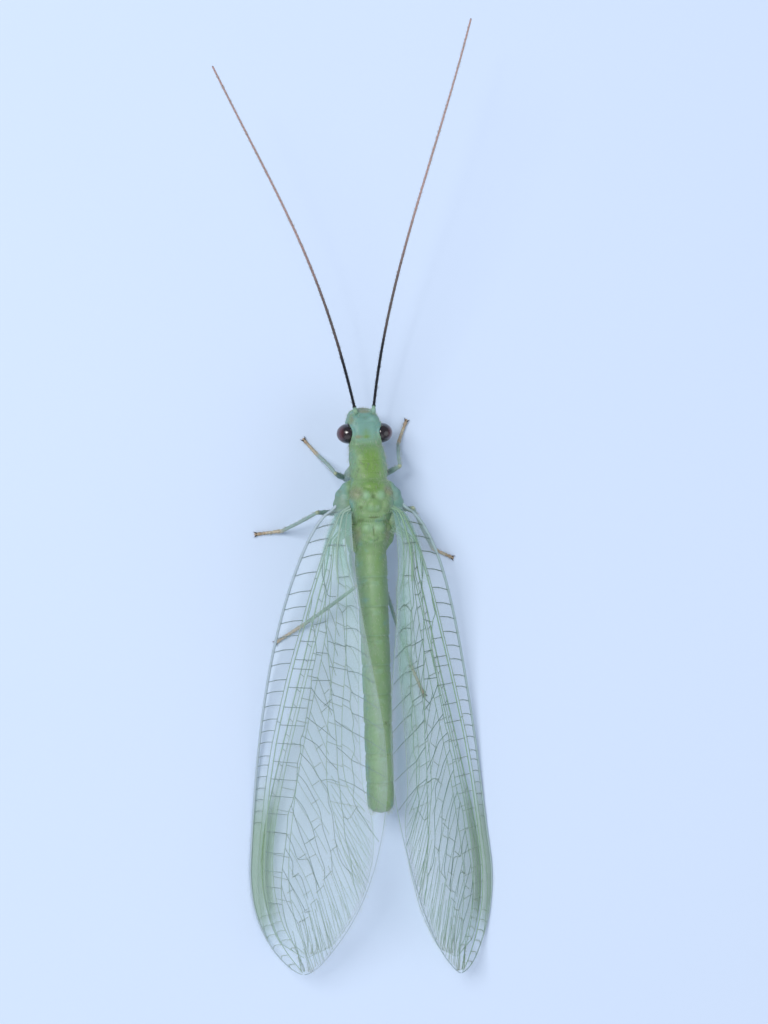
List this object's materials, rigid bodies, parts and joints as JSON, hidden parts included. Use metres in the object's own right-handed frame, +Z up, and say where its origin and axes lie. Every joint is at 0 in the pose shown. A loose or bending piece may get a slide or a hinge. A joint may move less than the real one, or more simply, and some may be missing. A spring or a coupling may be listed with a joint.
{
  "type": "green lacewing insect",
  "caption": "Life-size green lacewing at rest, clear netted wings folded like a roof over the slim green body, long feelers spread forwards.",
  "frame": {"origin": "centre of the whole insect's box, feelers and wings included, at the floor it stands on", "axes": "+Y towards the head and feelers, +X to the insect's right, +Z up"},
  "size_m": [0.0098, 0.0316, 0.0072],
  "materials": {
    "head": "satin blue-green cuticle of the head",
    "mouth": "satin pinkish amber mouthparts",
    "eye": "glossy dark wine compound eye",
    "thorax": "satin yellow-green cuticle of the thorax",
    "abdomen": "soft satin olive-green cuticle",
    "leg": "pale translucent green cuticle",
    "tarsus": "amber cuticle of the feet",
    "feeler_base": "satin black ringed cuticle",
    "feeler_end": "satin reddish amber ringed cuticle",
    "wing": "clear, faintly iridescent membrane with green and dark veins"
  },
  "bodies": {
    "root": {"head": "head", "mouthparts": "mouth", "prothorax": "thorax", "mesothorax": "thorax", "metathorax": "thorax", "abdomen_front": "abdomen", "abdomen_middle": "abdomen", "abdomen_rear": "abdomen", "eye_left": "eye", "antenna_left_scape": "leg", "antenna_left_base": "feeler_base", "antenna_left_end": "feeler_end", "forewing_left": "wing", "hindwing_left": "wing", "foreleg_left_coxa": "leg", "foreleg_left_femur": "leg", "foreleg_left_tibia": "leg", "foreleg_left_tarsus": "tarsus", "midleg_left_coxa": "leg", "midleg_left_femur": "leg", "midleg_left_tibia": "leg", "midleg_left_tarsus": "tarsus", "hindleg_left_coxa": "leg", "hindleg_left_femur": "leg", "hindleg_left_tibia": "leg", "hindleg_left_tarsus": "tarsus", "eye_right": "eye", "antenna_right_scape": "leg", "antenna_right_base": "feeler_base", "antenna_right_end": "feeler_end", "forewing_right": "wing", "hindwing_right": "wing", "foreleg_right_coxa": "leg", "foreleg_right_femur": "leg", "foreleg_right_tibia": "leg", "foreleg_right_tarsus": "tarsus", "midleg_right_coxa": "leg", "midleg_right_femur": "leg", "midleg_right_tibia": "leg", "midleg_right_tarsus": "tarsus", "hindleg_right_coxa": "leg", "hindleg_right_femur": "leg", "hindleg_right_tibia": "leg", "hindleg_right_tarsus": "tarsus"}
  },
  "joints": []
}
